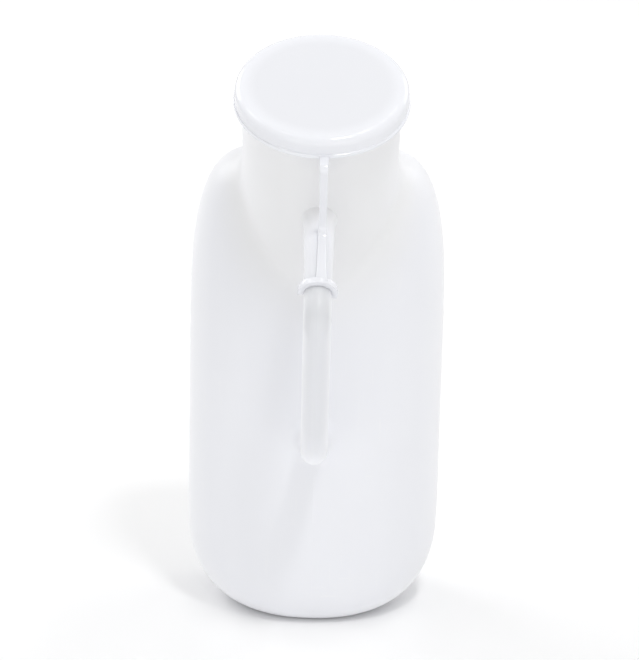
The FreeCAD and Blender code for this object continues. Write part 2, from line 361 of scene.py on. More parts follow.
def at_depth(face, depth):
    """True for a face that lies square to the neck, at this depth below the rim."""
    return all(abs(rim_depth(vert.co) - depth) < 2 * WELD for vert in face.verts)


def merged_copy(name, nodes):
    """A joined copy of CAD nodes without the faces where they part, to lay a skin on."""
    copies = []
    for node in nodes:
        copy = frame["nodes"][node].copy()
        copy.data = copy.data.copy()
        copy.parent = None
        bpy.context.scene.collection.objects.link(copy)
        copies.append(copy)
    form = join(*copies)
    form.name = name
    parting = bpy.context.scene.bottle_sizes.parting
    edit(form)
    pick_all()
    bpy.ops.mesh.remove_doubles(threshold=WELD / 2)
    pick(form, "FACE", lambda face: at_depth(face, parting))
    bpy.ops.mesh.delete(type="FACE")
    done()
    return form


def keep_outside(form, sizes):
    """Takes the inside of the wall away, which leaves a form to blow the outside against."""
    edit(form)
    pick(form, "FACE", lambda face: at_depth(face, 0))
    bpy.ops.mesh.delete(type="FACE")
    near = 0.2 * MM

    def outermost(vert):
        on_side = abs(vert.co.x) > CAD_BOX[1][0] - near
        off_neck = (vert.co - RIM).cross(NECK_UP).length
        on_bead = off_neck > sizes.bead_radius - near and rim_depth(vert.co) < sizes.bead_height
        return on_side or on_bead

    pick(form, "VERT", outermost)
    bpy.ops.mesh.select_linked()
    bpy.ops.mesh.select_all(action="INVERT")
    bpy.ops.mesh.delete(type="VERT")
    done()


def wrap(obj, form, method, group=""):
    """Lays obj's vertices on the form: outwards along their normals, or at the nearest place."""
    shrink = obj.modifiers.new("lay_on_form", "SHRINKWRAP")
    shrink.target = form
    shrink.wrap_method = method
    if method == "PROJECT":
        shrink.use_positive_direction = True
        shrink.use_negative_direction = False
    shrink.vertex_group = group
    apply_all(obj)


def along_spine(sizes, skin):
    """Places of the rings up the body and the neck, as (centre, tilt, size)."""
    start_radius = 18 * MM
    base_rows = 14
    base_closeness = 2.2            # rows lie closer together towards the base
    body_rows = range(-16, 2)       # from the lower root, up the straight part of the body
    shoulder_rows = 36
    places = []
    for row in range(base_rows):
        rise = (sizes.base_rise - skin) * (row / base_rows) ** base_closeness
        places.append((Vector((0, 0, skin + BASE_LIFT + rise)), 0.0))
    for row in body_rows:
        places.append((Vector((0, 0, sizes.lower_leg_height + row * ROOT_ROW)), 0.0))
    low = places[-1][0] + Vector((0, 0, ROOT_ROW))
    high = RIM - NECK_UP * (sizes.upper_root_depth + ROWS_BELOW_UPPER_ROOT * NECK_ROW)
    bend = Vector((0, 0, RIM.z + RIM.y / math.tan(NECK_LEAN)))
    for row in range(shoulder_rows):
        share = row / shoulder_rows
        centre = low * (1 - share) ** 2 + bend * (2 * share * (1 - share)) + high * share ** 2
        way = (bend - low) * (1 - share) + (high - bend) * share
        places.append((centre, math.atan2(-way.y, way.z)))
    for row in range(ROWS_BELOW_UPPER_ROOT, -ROWS_ABOVE_UPPER_ROOT - 1, -1):
        places.append((RIM - NECK_UP * (sizes.upper_root_depth + row * NECK_ROW), NECK_LEAN))
    return [(centre, tilt, start_radius) for centre, tilt in places]


def skin_tube(name, sizes, form, skin):
    """A tube of rings up the bottle, blown out against one side of the wall."""
    stations = along_spine(sizes, skin)
    centre, tilt, radius = stations[0]
    tube = new_ring(name, sizes.columns, radius, centre, tilt)
    edit(tube)
    pick_all()
    sweep(stations)
    pick_all()
    bpy.ops.mesh.normals_make_consistent(inside=False)
    done()
    wrap(tube, form, "PROJECT")
    edit(tube)
    low = skin + 5 * BASE_LIFT
    pick(tube, "VERT", lambda vert: vert.is_boundary and vert.co.z < low)
    bpy.ops.transform.translate(value=(0, 0, -BASE_LIFT))
    close_end(Vector((0, 0, skin)), steps=4)
    done()
    return tube


def arc(centre, radius, start, end, steps):
    """Points of an arc in (radius, height), both ends included."""
    points = []
    for step in range(steps + 1):
        at = math.radians(start + (end - start) * step / steps)
        points.append((centre[0] + radius * math.cos(at), centre[1] + radius * math.sin(at)))
    return points


def rim_profile(sizes, last_depth):
    """(radius, height above the rim) up the neck, over the bead and down inside."""
    inside = sizes.neck_radius - sizes.wall
    step = inside - MOUTH_RADIUS
    bead = sizes.bead_round
    lip = 0.4 * MM
    profile = [(sizes.neck_radius, -last_depth), (sizes.neck_radius, -0.6 * last_depth)]
    profile += [(sizes.neck_radius, -0.3 * last_depth), (sizes.neck_radius, -sizes.bead_height)]
    profile += arc((sizes.bead_radius - bead, bead - sizes.bead_height), bead, -90, 0, 4)
    profile += arc((sizes.bead_radius - bead, -bead), bead, 0, 90, 4)
    profile += arc((MOUTH_RADIUS + lip, -lip), lip, 90, 180, 3)
    profile += [(MOUTH_RADIUS, -MOUTH_LENGTH), (inside, -MOUTH_LENGTH - step)]
    profile += [(inside, -0.6 * last_depth), (inside, -last_depth)]
    return profile


def bar_corners(sizes):
    """Roots and corners of the handle: (upper root, upper corner, lower corner, lower root)."""
    way = Vector((0, -math.cos(sizes.upper_leg_fall), -math.sin(sizes.upper_leg_fall)))
    upper = RIM + NECK_FRONT * sizes.neck_radius - NECK_UP * sizes.upper_root_depth
    corner = upper + way * sizes.upper_leg_length
    low = Vector((0, -sizes.lower_corner, sizes.lower_leg_height))
    return upper, corner, low, Vector((0, -sizes.body_front, sizes.lower_leg_height))


def way_tilt(way):
    return math.atan2(-way.y, way.z) % (2 * math.pi)


def along_path(points, bends, size, step):
    """Places along straight runs joined by arcs, as (centre, tilt, size)."""
    bend_step = math.radians(9)
    places = []
    reached = points[0]
    for index, bend in enumerate(bends):
        corner = points[index + 1]
        back = (points[index] - corner).normalized()
        ahead = (points[index + 2] - corner).normalized()
        half = back.angle(ahead) / 2
        setback = bend / math.tan(half)
        centre = corner + (back + ahead).normalized() * (bend / math.sin(half))
        first = corner + back * setback
        last = corner + ahead * setback
        pieces = max(1, round((first - reached).length / step))
        tilt = way_tilt(-back)
        places += [(reached.lerp(first, piece / pieces), tilt) for piece in range(pieces)]
        turned = way_tilt(ahead) - tilt
        if abs(turned) > math.pi:
            turned -= math.copysign(2 * math.pi, turned)
        steps = max(2, round(abs(turned) / bend_step))
        spoke = first - centre
        for piece in range(steps):
            swung = turned * piece / steps
            spot = Matrix.Rotation(swung, 3, "X") @ spoke
            places.append((centre + spot, tilt + swung))
        reached = last
        end_tilt = tilt + turned
    pieces = max(1, round((points[-1] - reached).length / step))
    places += [(reached.lerp(points[-1], piece / pieces), end_tilt) for piece in range(pieces + 1)]
    return [(centre, tilt, size) for centre, tilt in places]


def handle_bar(sizes, clip_before_corner):
    """The bar from root to root, its upper leg swelling from the clip to its root."""
    upper, corner, low, root = bar_corners(sizes)
    start = upper + (corner - upper).normalized() * sizes.upper_root_reach
    end = root + (low - root).normalized() * sizes.lower_root_reach
    step = 4 * MM
    taper = sizes.upper_leg_length - clip_before_corner
    stations = [
        (centre, tilt, radius + sizes.leg_swell * max(0.0, 1 - (centre - upper).length / taper))
        for centre, tilt, radius in along_path(
            [start, corner, low, end], [sizes.upper_bend, sizes.lower_bend], sizes.bar_radius, step)]
    bar = new_ring("handle_bar", BAR_COLUMNS, stations[0][2], stations[0][0], stations[0][1])
    edit(bar)
    pick_all()
    sweep(stations)
    done()
    return bar


def open_root(skin, in_block, centre, way, radius):
    """Takes a block of faces out of the skin and slides the hole's corners to a circle.

    Across each pair of opposite corners the wall is a parabola through both and the centre.
    """
    pick(skin, "FACE", in_block)
    bpy.ops.mesh.delete(type="FACE")
    mesh = bmesh.from_edit_mesh(skin.data)
    near = 1.75 * radius
    corners = []
    for vert in mesh.verts:
        if vert.is_boundary and (vert.co - centre).length < near:
            along = (vert.co - centre).dot(way)
            across = vert.co - centre - way * along
            corners.append((vert, across.normalized(), across.length, along))
    for vert, out, reach, along in corners:
        facing = min(corners, key=lambda corner: corner[1].dot(out))
        bend = (along / reach + facing[3] / facing[2]) / (reach + facing[2])
        slope = along / reach - bend * reach
        vert.co = centre + out * radius + way * (slope * radius + bend * radius * radius)
    bmesh.update_edit_mesh(skin.data)
    if len(corners) != BAR_COLUMNS:
        raise RuntimeError("a root's hole has %d corners, not %d" % (len(corners), BAR_COLUMNS))


def join_root(bottle, centre):
    """Bridges the hole in the wall to the end of the bar."""
    def at_hole(line):
        return line.is_boundary and all((vert.co - centre).length < ROOT_FIND for vert in line.verts)

    pick(bottle, "EDGE", at_hole)
    bpy.ops.mesh.bridge_edge_loops(number_cuts=5, interpolation="LINEAR")


def blown_bottle(sizes, clip_before_corner):
    """Body, neck, rim and handle as one closed skin with its own inside."""
    form = merged_copy("bottle_form", ["bottle_body", "bottle_neck"])
    inside = skin_tube("bottle_inside", sizes, form, sizes.wall)
    keep_outside(form, sizes)
    outside = skin_tube("bottle", sizes, form, 0.0)

    upper, corner, low, root = bar_corners(sizes)
    upper_way = (corner - upper).normalized()
    lower_way = (low - root).normalized()
    block = ROOT_BLOCK * 2 * math.pi / sizes.columns

    def beside_lower_root(face):
        middle = face.calc_center_median()
        near = abs(middle.z - sizes.lower_leg_height) < ROOT_BLOCK * ROOT_ROW
        return near and abs(math.atan2(middle.x, -middle.y)) < block

    def beside_upper_root(face):
        middle = face.calc_center_median()
        near = abs(rim_depth(middle) - sizes.upper_root_depth) < ROOT_BLOCK * NECK_ROW
        return near and abs(math.atan2(middle.x, (middle - RIM).dot(NECK_FRONT))) < block

    edit(outside)
    open_root(outside, beside_lower_root, root, lower_way, sizes.bar_radius + sizes.lower_root_flare)
    open_root(outside, beside_upper_root, upper, upper_way, sizes.bar_radius + sizes.upper_root_flare)
    done()

    last_depth = sizes.upper_root_depth - ROWS_ABOVE_UPPER_ROOT * NECK_ROW
    profile = rim_profile(sizes, last_depth)
    edit(outside)
    pick(outside, "VERT", lambda vert: vert.is_boundary and abs(rim_depth(vert.co) - last_depth) < 10 * WELD)
    sweep([(RIM + NECK_UP * height, NECK_LEAN, radius) for radius, height in profile])
    done()

    bottle = join(outside, handle_bar(sizes, clip_before_corner))
    edit(bottle)
    join_root(bottle, upper)
    join_root(bottle, root)
    done()
    past_hole = 1.7 * MM            # how far past the hole's edge the skin is laid on the form again
    reach = sizes.bar_radius + sizes.lower_root_flare + past_hole
    fillet = bottle.vertex_groups.new(name="lower_root_fillet")
    within = [vert.index for vert in bottle.data.vertices if (vert.co - root).length < reach]
    fillet.add(within, 1.0, "REPLACE")
    wrap(bottle, form, "NEAREST_SURFACEPOINT", group=fillet.name)
    bottle.vertex_groups.clear()
    bottle = join(bottle, inside)
    finish_mesh(bottle, weld=5 * WELD)
    bpy.data.objects.remove(form)
    return bottle


# -------------------------------- lid, strap and clip
def lid_profile(sizes):
    """(radius, height above the rim) from the middle of the top, round the lip, to the inside."""
    top = sizes.seat_gap + sizes.plate
    bottom = top - sizes.height
    corner = sizes.top_round
    lip_top = bottom + sizes.lip_height
    lip, foot, seat, notch = 0.45 * MM, 0.4 * MM, 0.9 * MM, 0.3 * MM    # small roundings
    profile = [(1 * MM, top - 0.15 * MM), (15 * MM, top - 0.1 * MM), (28 * MM, top - 0.02 * MM)]
    profile += arc((sizes.outer_radius - corner, top - corner), corner, 90, 0, 10)
    profile += [(sizes.outer_radius, lip_top + 0.5 * MM)]
    profile += arc((sizes.outer_radius + notch, lip_top + notch), notch, 180, 270, 2)
    profile += arc((sizes.lip_radius - lip, lip_top - lip), lip, 90, 0, 3)
    profile += arc((sizes.lip_radius - lip, bottom + lip), lip, 0, -90, 3)
    profile += arc((sizes.inner_radius + foot, bottom + foot), foot, -90, -180, 3)
    profile += arc((sizes.inner_radius - seat, sizes.seat_gap - seat), seat, 0, 90, 4)
    profile += [(20 * MM, sizes.seat_gap), (1 * MM, sizes.seat_gap)]
    return profile


def moulded_lid(sizes):
    """Plate, skirt and lip, swept round the neck's axis and closed in the middle, above and below."""
    columns = 128
    stations = [(RIM + NECK_UP * height, NECK_LEAN, radius) for radius, height in lid_profile(sizes)]
    lid = new_ring("lid", columns, stations[0][2], stations[0][0], NECK_LEAN)
    edit(lid)
    pick_all()
    sweep(stations)
    pinch()
    pick(lid, "VERT", lambda vert: vert.is_boundary)
    pinch()
    done()
    finish_mesh(lid)
    return lid


def rounded_section(name, width, thickness, rounding, centre, rotation):
    """An open rounded rectangle at its place, for a sweep or a spin."""
    bpy.ops.object.select_all(action="DESELECT")
    bpy.ops.mesh.primitive_plane_add(size=1, location=centre, rotation=rotation)
    piece = bpy.context.object
    piece.name = name
    piece.data.name = name
    piece.scale = (width, thickness, 1)
    settle(piece)
    edit(piece)
    pick_all()
    bpy.ops.mesh.bevel(offset=rounding, segments=3, affect="VERTICES", offset_type="OFFSET")
    pick_all()
    bpy.ops.mesh.delete(type="ONLY_FACE")
    pick_all()
    return piece


def clip_place(bottle, lid):
    """The clip's middle on the upper leg, the leg's way, and the way up off the leg."""
    upper, corner = bar_corners(bottle)[:2]
    way = (corner - upper).normalized()
    return corner - way * lid.clip_before_corner, way, Vector((0, way.z, -way.y))


def moulded_strap(bottle, lid):
    """One strip from the lid's lip, down beside the neck and along the handle to the clip."""
    tab = 8.2 * MM                  # from the lip to the fold
    fold_bend = 2.6 * MM
    rounding = 0.5 * MM
    row_step = 1.5 * MM
    waist, waist_ends = 0.16, 0.9   # how much narrower half-way along, and where the waist ends
    spread, spread_starts = 0.3, 0.88   # how much wider at the clip, and where that starts
    middle, _, over = clip_place(bottle, lid)
    upper = bar_corners(bottle)[0]
    over_bar = bottle.bar_radius + lid.strap_lift + lid.strap_thickness / 2
    drop = (upper + over * over_bar - FOLD).dot(over) / -NECK_UP.dot(over)
    path = [FOLD - NECK_FRONT * tab, FOLD, FOLD - NECK_UP * drop, middle + over * over_bar]
    runs = along_path(path, [fold_bend, lid.strap_bend], 1.0, row_step)
    aside = Vector((lid.strap_drift, 0, 0))
    stations = []
    for row, (centre, tilt, size) in enumerate(runs):
        share = row / (len(runs) - 1)
        narrower = waist * math.sin(math.pi * min(share / waist_ends, 1.0))
        wider = spread * max(0.0, (share - spread_starts) / (1 - spread_starts)) ** 2
        stations.append((centre + aside, tilt, size - narrower + wider))
    strap = rounded_section(
        "lid_strap_strip", lid.strap_width, lid.strap_thickness, rounding,
        stations[0][0], (stations[0][1], 0, 0))
    sweep(stations, across_only=True)
    pick(strap, "EDGE", lambda line: line.is_boundary)
    bpy.ops.mesh.edge_face_add()
    done()
    finish_mesh(strap)
    return strap


def moulded_clip(bottle, lid):
    """An open ring round the upper leg, with round ends."""
    rounding = 0.15 * MM
    middle, way, over = clip_place(bottle, lid)
    centre_radius = bottle.bar_radius + lid.clip_play + lid.clip_thickness / 2
    half = lid.clip_wrap / 2
    square = Matrix((over, way, (1, 0, 0))).transposed()
    first = Matrix.Rotation(-half - lid.clip_turn, 3, way)
    clip = rounded_section(
        "strap_clip_ring", lid.clip_thickness, lid.clip_width, rounding,
        middle + first @ over * centre_radius, (first @ square).to_euler())
    bpy.ops.mesh.spin(steps=40, angle=lid.clip_wrap, center=middle, axis=-way)
    for side in (-1, 1):
        turned = Matrix.Rotation(side * half - lid.clip_turn, 3, way)
        tip = middle + turned @ over * centre_radius
        onwards = turned @ Vector((-side, 0, 0))
        pick(clip, "EDGE", lambda line: line.is_boundary and (line.verts[0].co - tip).length < lid.clip_width)
        round_tip(tip, onwards, lid.clip_thickness / 2)
    done()
    finish_mesh(clip)
    return clip


def round_tip(centre, way, radius):
    """Draws the selected end out into a rounded tip."""
    steps = 4
    reached, size = 0.0, 1.0
    for step in range(1, steps + 1):
        bow = math.pi / 2 * step / steps
        extrude(way * (radius * (math.sin(bow) - reached)))
        reached = math.sin(bow)
        if step < steps:
            share = math.cos(bow) / size
            size = math.cos(bow)
            bpy.ops.transform.resize(
                value=(share, share, share), center_override=centre + way * (radius * reached))
    bpy.ops.mesh.merge(type="CENTER")


# -------------------------------- materials
def feed(tree, value, socket):
    """Links a node's output to the socket, or gives the socket a plain value."""
    if isinstance(value, bpy.types.NodeSocket):
        tree.links.new(value, socket)
    else:
        socket.default_value = value


def add_math(tree, operation, *values, clamp=False):
    node = tree.nodes.new("ShaderNodeMath")
    node.operation = operation
    node.use_clamp = clamp
    for value, socket in zip(values, node.inputs):
        feed(tree, value, socket)
    return node.outputs[0]


def add_vector_math(tree, operation, *values):
    node = tree.nodes.new("ShaderNodeVectorMath")
    node.operation = operation
    for value, socket in zip(values, node.inputs):
        feed(tree, value, socket)
    return node.outputs["Value" if operation in ("LENGTH", "DISTANCE") else "Vector"]


def add_range(tree, value, low, high=1.0, smooth=False):
    """0 at low and 1 at high, which may be the smaller of the two."""
    node = tree.nodes.new("ShaderNodeMapRange")
    if smooth:
        node.interpolation_type = "SMOOTHSTEP"
    feed(tree, value, node.inputs["Value"])
    feed(tree, low, node.inputs["From Min"])
    feed(tree, high, node.inputs["From Max"])
    return node.outputs["Result"]


def add_noise(tree, place, scale, detail=2.0, stretch=(1, 1, 1)):
    mapping = tree.nodes.new("ShaderNodeMapping")
    mapping.inputs["Scale"].default_value = stretch
    tree.links.new(place, mapping.inputs["Vector"])
    noise = tree.nodes.new("ShaderNodeTexNoise")
    noise.inputs["Detail"].default_value = detail
    tree.links.new(mapping.outputs["Vector"], noise.inputs["Vector"])
    feed(tree, scale, noise.inputs["Scale"])
    return noise.outputs["Fac"]


def split(tree, place):
    node = tree.nodes.new("ShaderNodeSeparateXYZ")
    tree.links.new(place, node.inputs[0])
    return node.outputs


def mix_colour(tree, factor, first, second):
    node = tree.nodes.new("ShaderNodeMix")
    node.data_type = "RGBA"
    for value, slot in ((factor, 0), (first, 6), (second, 7)):
        feed(tree, value, node.inputs[slot])
    return node.outputs[2]


def effect(name, inputs, outputs):
    """A node group over a place; returns it, what it is given and what it has to give."""
    tree = bpy.data.node_groups.new(name, "ShaderNodeTree")
    for label, kind, value in (("Place", "Vector", None), *inputs):
        socket = tree.interface.new_socket(name=label, in_out="INPUT", socket_type="NodeSocket" + kind)
        if value is not None:
            socket.default_value = value
    for label, kind in outputs:
        tree.interface.new_socket(name=label, in_out="OUTPUT", socket_type="NodeSocket" + kind)
    return tree, tree.nodes.new("NodeGroupInput").outputs, tree.nodes.new("NodeGroupOutput").inputs


def mould_grain():
    """Fine matt grain that the mould leaves: height for a bump, and roughness that wanders with it."""
    tree, given, result = effect(
        "mould_grain",
        [("Grains per metre", "Float", 1400.0),
         ("Roughness", "Float", 0.4), ("Spread", "Float", 0.1)],
        [("Height", "Float"), ("Roughness", "Float")])
    fine = add_noise(tree, given["Place"], given["Grains per metre"], 3.0)
    slow = add_noise(tree, given["Place"], add_math(tree, "MULTIPLY", given["Grains per metre"], 0.03))
    feed(tree, add_math(tree, "MULTIPLY_ADD", slow, 1.5, fine), result["Height"])
    off_middle = add_math(tree, "SUBTRACT", add_math(tree, "ADD", fine, slow), 1.0)
    rough = add_math(tree, "MULTIPLY_ADD", off_middle, given["Spread"], given["Roughness"], clamp=True)
    feed(tree, rough, result["Roughness"])
    return tree


def milky_wall():
    """Milky plastic whose wall is thicker and thinner in soft clouds, drawn out up and down."""
    tree, given, result = effect(
        "milky_wall",
        [("Thin wall", "Color", (0.88, 0.89, 0.92, 1)),
         ("Thick wall", "Color", (0.83, 0.84, 0.87, 1)), ("Clouds per metre", "Float", 22.0)],
        [("Color", "Color"), ("Thickness", "Float")])
    clouds = add_noise(tree, given["Place"], given["Clouds per metre"], 2.0, (1, 1, 0.45))
    streaks_per_metre = add_math(tree, "MULTIPLY", given["Clouds per metre"], 5.0)
    streaks = add_noise(tree, given["Place"], streaks_per_metre, 1.0, (1, 1, 0.12))
    both = add_math(tree, "MULTIPLY_ADD", streaks, 0.35, add_math(tree, "MULTIPLY", clouds, 0.65))
    thickness = add_range(tree, both, 0.32, 0.68)
    feed(tree, mix_colour(tree, thickness, given["Thin wall"], given["Thick wall"]), result["Color"])
    feed(tree, thickness, result["Thickness"])
    return tree


def handling_marks():
    """Faint rubs and hair scratches from washing and handling, as a mask."""
    tree, given, result = effect(
        "handling_marks",
        [("Amount", "Float", 0.5)],
        [("Mask", "Float")])
    hair = 0.08                     # the share of the noise that a scratch takes up
    scratches = [
        add_range(tree, add_noise(tree, given["Place"], scale, 1.0, stretch), low, low + hair)
        for stretch, scale, low in (((1, 1, 0.06), 900.0, 0.66), ((0.08, 0.3, 1), 700.0, 0.68))]
    rubbed = add_range(tree, add_noise(tree, given["Place"], 35.0), 0.45, 0.75)
    mask = add_math(tree, "MULTIPLY", add_math(tree, "MAXIMUM", *scratches), rubbed)
    feed(tree, add_math(tree, "MULTIPLY", mask, given["Amount"], clamp=True), result["Mask"])
    return tree


def parting_line():
    """The fine raised line where the two halves of the mould met, at X = 0."""
    tree, given, result = effect(
        "parting_line",
        [("Half width", "Float", 0.3 * MM)],
        [("Line", "Float")])
    aside = add_math(tree, "ABSOLUTE", split(tree, given["Place"])["X"])
    share = add_math(tree, "DIVIDE", aside, given["Half width"])
    feed(tree, add_math(tree, "SUBTRACT", 1.0, share, clamp=True), result["Line"])
    return tree


def painted_bar_shade():
    """Painted shade along the bar, most of all just before its upper corner, below the clip, where the clip's
    shadow falls.
    """
    tree, given, result = effect(
        "painted_bar_shade",
        [("Bar starts", "Float", 64 * MM), ("Corner", "Vector", (0, -0.08, 0.16)),
         ("Reach", "Float", 15 * MM)],
        [("Mask", "Float")])
    fade, bar_share, corner_share, falloff = 12 * MM, 0.55, 1.5, 1.6
    forward = add_math(tree, "MULTIPLY", split(tree, given["Place"])["Y"], -1.0)
    past = add_math(tree, "SUBTRACT", forward, given["Bar starts"])
    along_bar = add_math(tree, "MULTIPLY", add_math(tree, "DIVIDE", past, fade, clamp=True), bar_share)
    away = add_vector_math(tree, "DISTANCE", given["Place"], given["Corner"])
    near = add_math(tree, "SUBTRACT", 1.0, add_math(tree, "DIVIDE", away, given["Reach"]), clamp=True)
    near = add_math(tree, "POWER", near, falloff)
    feed(tree, add_math(tree, "MULTIPLY_ADD", near, corner_share, along_bar, clamp=True), result["Mask"])
    return tree


def off_axis():
    """Distance from a straight axis, as 1 within the inner radius and falling to 0 at the outer one."""
    tree, given, result = effect(
        "off_axis",
        [("On axis", "Vector", (0, 0, 0)), ("Along", "Vector", (0, 0, 1)),
         ("Inner", "Float", 34 * MM), ("Outer", "Float", 48 * MM)],
        [("Mask", "Float")])
    off = add_vector_math(tree, "SUBTRACT", given["Place"], given["On axis"])
    across = add_vector_math(tree, "LENGTH", add_vector_math(tree, "CROSS_PRODUCT", off, given["Along"]))
    feed(tree, add_range(tree, across, given["Outer"], given["Inner"], smooth=True), result["Mask"])
    return tree


def above_level():
    """0 below a level, rising to 1 at a higher one."""
    tree, given, result = effect(
        "above_level",
        [("Starts", "Float", 120 * MM), ("Full", "Float", 180 * MM)],
        [("Mask", "Float")])
    height = split(tree, given["Place"])["Z"]
    feed(tree, add_range(tree, height, given["Starts"], given["Full"], smooth=True), result["Mask"])
    return tree


def place_effect(tree, build, place, **values):
    """Puts an effect into a material, and builds it first if none has it yet; returns its outputs."""
    node = tree.nodes.new("ShaderNodeGroup")
    node.node_tree = bpy.data.node_groups.get(build.__name__) or build()
    tree.links.new(place, node.inputs["Place"])
    for label, value in values.items():
        node.inputs[label.replace("_", " ")].default_value = value
    return node.outputs


def tint_round_neck(tree, place, colour, tint, inner, outer, share=1.0):
    """Lays a tint on the colour round the neck's axis: whole within inner, gone past outer."""
    near = place_effect(tree, off_axis, place, On_axis=RIM, Along=NECK_UP, Inner=inner, Outer=outer)["Mask"]
    return mix_colour(tree, add_math(tree, "MULTIPLY", near, share), colour, tint)


def polyethylene(name, thin, thick, clouds, grains, roughness, marks, blown):
    """Milky polyethylene: soft clouds in the wall, mould grain, marks, painted shade and sheen, and, if blown,
    a parting line.
    """
    finish = bpy.context.scene.finish_settings
    material = bpy.data.materials.new(name)
    material.use_nodes = True
    tree = material.node_tree
    rub_roughness = 0.25
    grain_height, cloud_height, line_height = 0.012 * MM, 0.05 * MM, 0.03 * MM
    shader = tree.nodes["Principled BSDF"].inputs
    shader["IOR"].default_value = 1.5
    shader["Subsurface Weight"].default_value = 0.12
    shader["Subsurface Radius"].default_value = (1.0, 1.0, 1.1)
    shader["Subsurface Scale"].default_value = 5 * MM
    place = tree.nodes.new("ShaderNodeTexCoord").outputs["Object"]
    wall = place_effect(tree, milky_wall, place, Thin_wall=thin, Thick_wall=thick, Clouds_per_metre=clouds)
    grain = place_effect(tree, mould_grain, place, Grains_per_metre=grains, Roughness=roughness, Spread=0.12)
    rubs = place_effect(tree, handling_marks, place, Amount=marks)["Mask"]
    colour = mix_colour(tree, rubs, wall["Color"], finish.rubbed)
    if blown:
        high = place_effect(tree, above_level, place)["Mask"]
        # Painted shade and greyer tint in a ring about the neck, above the chest; the neck's tube itself
        # lighter again
        colour = tint_round_neck(tree, place, colour, finish.neck_tone, 34 * MM, 48 * MM, high)
        colour = tint_round_neck(tree, place, colour, finish.tube_tone, 30 * MM, 37 * MM, high)
        # Painted shade on the bar, darkest just before its upper corner, below the clip, where the clip's
        # shadow falls
        upper, corner = bar_corners(bpy.context.scene.bottle_sizes)[:2]
        before_corner = 7 * MM
        shadiest_spot = corner - (corner - upper).normalized() * before_corner
        drawn = place_effect(tree, painted_bar_shade, place, Corner=shadiest_spot)["Mask"]
        colour = mix_colour(tree, drawn, colour, finish.drawn_tone)
    else:
        # Painted shade over the middle of the lid
        colour = tint_round_neck(tree, place, colour, finish.plate_tone, 27 * MM, 34.5 * MM)
    # Painted edge sheen on the bottle and painted edge shade on the lid, where the wall is seen edge on
    edge_on = tree.nodes.new("ShaderNodeLayerWeight")
    edge_on.inputs["Blend"].default_value = 0.5
    edge = add_range(tree, edge_on.outputs["Facing"], 0.35)
    colour = mix_colour(tree, edge, colour, finish.bottle_edge if blown else finish.lid_edge)
    feed(tree, colour, shader["Base Color"])
    rough = add_math(tree, "MULTIPLY_ADD", rubs, rub_roughness, grain["Roughness"], clamp=True)
    feed(tree, rough, shader["Roughness"])
    height = add_math(tree, "MULTIPLY", grain["Height"], grain_height)
    height = add_math(tree, "MULTIPLY_ADD", wall["Thickness"], cloud_height, height)
    if blown:
        line = place_effect(tree, parting_line, place, Half_width=0.35 * MM)["Line"]
        height = add_math(tree, "MULTIPLY_ADD", line, line_height, height)
    bump = tree.nodes.new("ShaderNodeBump")
    bump.inputs["Distance"].default_value = 1.0
    feed(tree, height, bump.inputs["Height"])
    feed(tree, bump.outputs["Normal"], shader["Normal"])
    return material


def dress(obj, material):
    obj.data.materials.clear()
    obj.data.materials.append(material)


# -------------------------------- operators
class URINE_OT_bottle(bpy.types.Operator):
    """Blow the bottle: body, neck, rim and handle in one skin"""
    bl_idname = "urine_bottle.blow_bottle"
    bl_label = "Blow bottle"

    def execute(self, context):
        bottle = blown_bottle(context.scene.bottle_sizes, context.scene.lid_sizes.clip_before_corner)
        finish = context.scene.finish_settings
        dress(bottle, polyethylene(
            "blown_polyethylene", finish.bottle_thin, finish.bottle_thick, clouds=22.0, grains=1400.0,
            roughness=finish.bottle_roughness, marks=0.35, blown=True))
        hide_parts("bottle_body", "bottle_neck", "handle")
        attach(bottle, "bottle")
        return {"FINISHED"}


class URINE_OT_lid(bpy.types.Operator):
    """Mould the lid and the strap that ties it to the handle"""
    bl_idname = "urine_bottle.mould_lid"
    bl_label = "Mould lid and strap"

    def execute(self, context):
        sizes = context.scene.lid_sizes
        finish = context.scene.finish_settings
        lid = moulded_lid(sizes)
        dress(lid, polyethylene(
            "moulded_polyethylene", finish.lid_thin, finish.lid_thick, clouds=30.0, grains=2200.0,
            roughness=finish.lid_roughness, marks=0.5, blown=False))
        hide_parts("lid_cap")
        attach(lid, "lid")
        strap = moulded_strap(context.scene.bottle_sizes, sizes)
        # A darker copy of the lid's plastic, as painted shade on the strap and clip
        material = polyethylene(
            "strap_polyethylene", finish.strap_thin, finish.strap_thick, clouds=90.0, grains=2600.0,
            roughness=finish.lid_roughness, marks=0.6, blown=False)
        dress(strap, material)
        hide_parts("lid_strap")
        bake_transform(strap)
        clip = moulded_clip(context.scene.bottle_sizes, sizes)
        dress(clip, material)
        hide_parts("strap_clip")
        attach(clip, "bottle")
        return {"FINISHED"}


class URINE_OT_stage(bpy.types.Operator):
    """Set the floor, the soft light and the camera"""
    bl_idname = "urine_bottle.set_stage"
    bl_label = "Set stage"

    def execute(self, context):
        stage = context.scene.stage_settings
        add_floor(stage)
        add_light(stage)
        add_camera(stage)
        return {"FINISHED"}


def seen_directly(tree):
    """1 for rays from the camera, or straight on from gloss and glass."""
    path = tree.nodes.new("ShaderNodeLightPath")
    seen = add_math(tree, "MAXIMUM", path.outputs["Is Camera Ray"], path.outputs["Is Glossy Ray"])
    return add_math(tree, "MAXIMUM", seen, path.outputs["Is Transmission Ray"])


